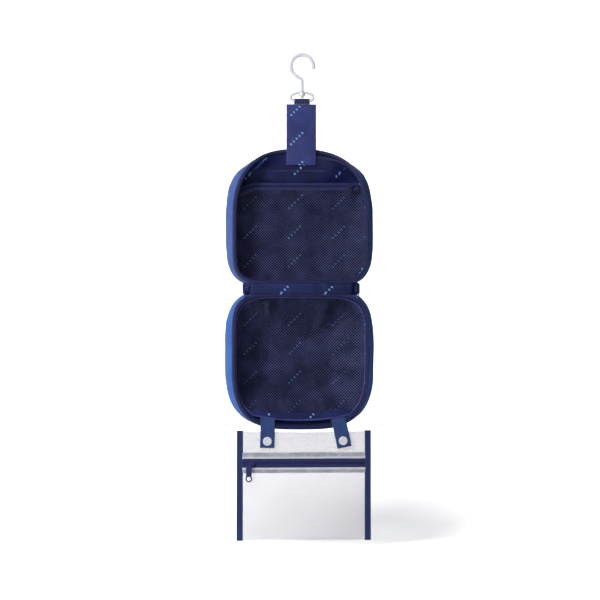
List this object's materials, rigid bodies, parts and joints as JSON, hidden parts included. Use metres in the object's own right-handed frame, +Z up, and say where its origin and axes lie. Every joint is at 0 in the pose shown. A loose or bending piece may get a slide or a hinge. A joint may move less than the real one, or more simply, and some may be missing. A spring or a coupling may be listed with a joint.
{
  "type": "hanging toiletry bag",
  "caption": "Hanging toiletry bag: two soft clamshell pods with mesh pockets, a swivel hook on a strap, and a clear zipped pouch that snaps on below.",
  "frame": {"origin": "the flat seat inside the hook's crown, where the bag hangs", "axes": "+Z up towards the hook, -Y out of the open pods towards the user, +X to the user's right"},
  "size_m": [0.2236, 0.0566, 0.7313],
  "materials": {
    "shell": "woven",
    "lining": "satin",
    "padding": "foam",
    "tape": "woven",
    "coil": "moulded",
    "mesh": "open knit",
    "slider": "satin",
    "webbing": "grosgrain",
    "film": "frosted",
    "band": "satin",
    "plastic": "moulded"
  },
  "bodies": {
    "upper_pod": {"upper_shell": "shell", "upper_padding": "padding", "upper_lining": "lining", "upper_zip_tape": "tape", "upper_zip_coil": "coil", "hinge_panel": "lining", "pocket_mesh": "mesh", "pocket_tape_upper": "tape", "pocket_zip_coil": "coil", "pocket_tape_lower": "tape"},
    "lower_pod": {"lower_shell": "shell", "lower_padding": "padding", "lower_lining": "lining", "lower_zip_tape": "tape", "lower_zip_coil": "coil", "cover_mesh": "mesh", "cover_binding": "tape", "cover_zip_coil": "coil"},
    "strap": {"hanger_strap": "lining", "webbing_loop": "webbing"},
    "ring": {"swivel_ring": "plastic"},
    "hook": {"hook": "plastic"},
    "left_main_slider": {"left_slider": "slider"},
    "left_main_pull": {"left_pull": "slider"},
    "right_main_slider": {"right_slider": "slider"},
    "right_main_pull": {"right_pull": "slider"},
    "pocket_slider": {"pocket_slider": "slider"},
    "pocket_pull": {"pocket_pull": "slider"},
    "cover_slider": {"cover_slider": "slider"},
    "cover_pull": {"cover_pull": "slider"},
    "left_tab": {"left_tab": "webbing", "left_snap_cap": "plastic", "left_snap_socket": "plastic"},
    "right_tab": {"right_tab": "webbing", "right_snap_cap": "plastic", "right_snap_socket": "plastic"},
    "pouch": {"pouch_back_film": "film", "pouch_upper_film": "film", "pouch_upper_band": "band", "pouch_tape_upper": "tape", "pouch_zip_coil": "coil", "pouch_tape_lower": "tape", "pouch_lower_band": "band", "pouch_lower_film": "film", "pouch_left_binding": "webbing", "pouch_right_binding": "webbing", "left_snap_stud": "plastic", "right_snap_stud": "plastic", "left_stud_back": "plastic", "right_stud_back": "plastic"},
    "pouch_slider": {"pouch_slider": "slider"},
    "pouch_pull": {"pouch_pull": "slider"}
  },
  "joints": [
    {"name": "strap_fold", "type": "hinge", "parent": "upper_pod", "child": "strap", "pos_m": [-0.001, -0.001, -0.1629], "axis": [1, 0, 0], "range_deg": [0, 168]},
    {"name": "ring_tilt", "type": "hinge", "parent": "strap", "child": "ring", "pos_m": [0, 0, -0.0662], "axis": [1, 0, 0], "range_deg": [-100, 12]},
    {"name": "hook_swivel", "type": "hinge", "parent": "ring", "child": "hook", "pos_m": [0, 0, -0.051], "axis": [0, 0, 1], "range_deg": [-180, 180]},
    {"name": "clamshell", "type": "hinge", "parent": "upper_pod", "child": "lower_pod", "pos_m": [-0.004, -0.0292, -0.35], "axis": [-1, 0, 0], "range_deg": [0, 180]},
    {"name": "left_slider_travel", "type": "hinge", "parent": "upper_pod", "child": "left_main_slider", "pos_m": [-0.0501, -0.0292, -0.3], "axis": [0, 1, 0], "range_deg": [0, 55]},
    {"name": "left_pull_swing", "type": "hinge", "parent": "left_main_slider", "child": "left_main_pull", "pos_m": [-0.0889, -0.0292, -0.3495], "axis": [0, 1, 0], "range_deg": [0, 100]},
    {"name": "right_slider_travel", "type": "hinge", "parent": "upper_pod", "child": "right_main_slider", "pos_m": [0.0441, -0.0292, -0.3], "axis": [0, -1, 0], "range_deg": [0, 55]},
    {"name": "right_pull_swing", "type": "hinge", "parent": "right_main_slider", "child": "right_main_pull", "pos_m": [0.0829, -0.0292, -0.3495], "axis": [0, -1, 0], "range_deg": [0, 100]},
    {"name": "pocket_zip", "type": "slide", "parent": "upper_pod", "child": "pocket_slider", "axis": [1, 0, 0], "range_m": [-0.155, 0]},
    {"name": "pocket_pull_lift", "type": "hinge", "parent": "pocket_slider", "child": "pocket_pull", "pos_m": [0.072, -0.0069, -0.1955], "axis": [-1, 0, 0], "range_deg": [0, 100]},
    {"name": "cover_zip", "type": "slide", "parent": "lower_pod", "child": "cover_slider", "axis": [1, 0, 0], "range_m": [0, 0.104]},
    {"name": "cover_pull_lift", "type": "hinge", "parent": "cover_slider", "child": "cover_pull", "pos_m": [-0.056, -0.0258, -0.3726], "axis": [-1, 0, 0], "range_deg": [0, 100]},
    {"name": "tab_swing", "type": "hinge", "parent": "lower_pod", "child": "left_tab", "pos_m": [-0.0545, -0.0322, -0.5615], "axis": [1, 0, 0], "range_deg": [-165, 4]},
    {"name": "right_tab_swing", "type": "hinge", "parent": "lower_pod", "child": "right_tab", "pos_m": [0.056, -0.0322, -0.5615], "axis": [1, 0, 0], "range_deg": [-165, 4]},
    {"name": "pouch_unsnap", "type": "slide", "parent": "left_tab", "child": "pouch", "axis": [0, 1, 0], "range_m": [0, 0.012]},
    {"name": "pouch_zip", "type": "slide", "parent": "pouch", "child": "pouch_slider", "axis": [1, 0, 0], "range_m": [0, 0.162]},
    {"name": "pouch_pull_lift", "type": "hinge", "parent": "pouch_slider", "child": "pouch_pull", "pos_m": [-0.083, -0.037, -0.611], "axis": [-1, 0, 0], "range_deg": [0, 140]}
  ],
  "couplings": [
    {"joint": "right_tab_swing", "follows": "tab_swing", "ratio": 1}
  ]
}
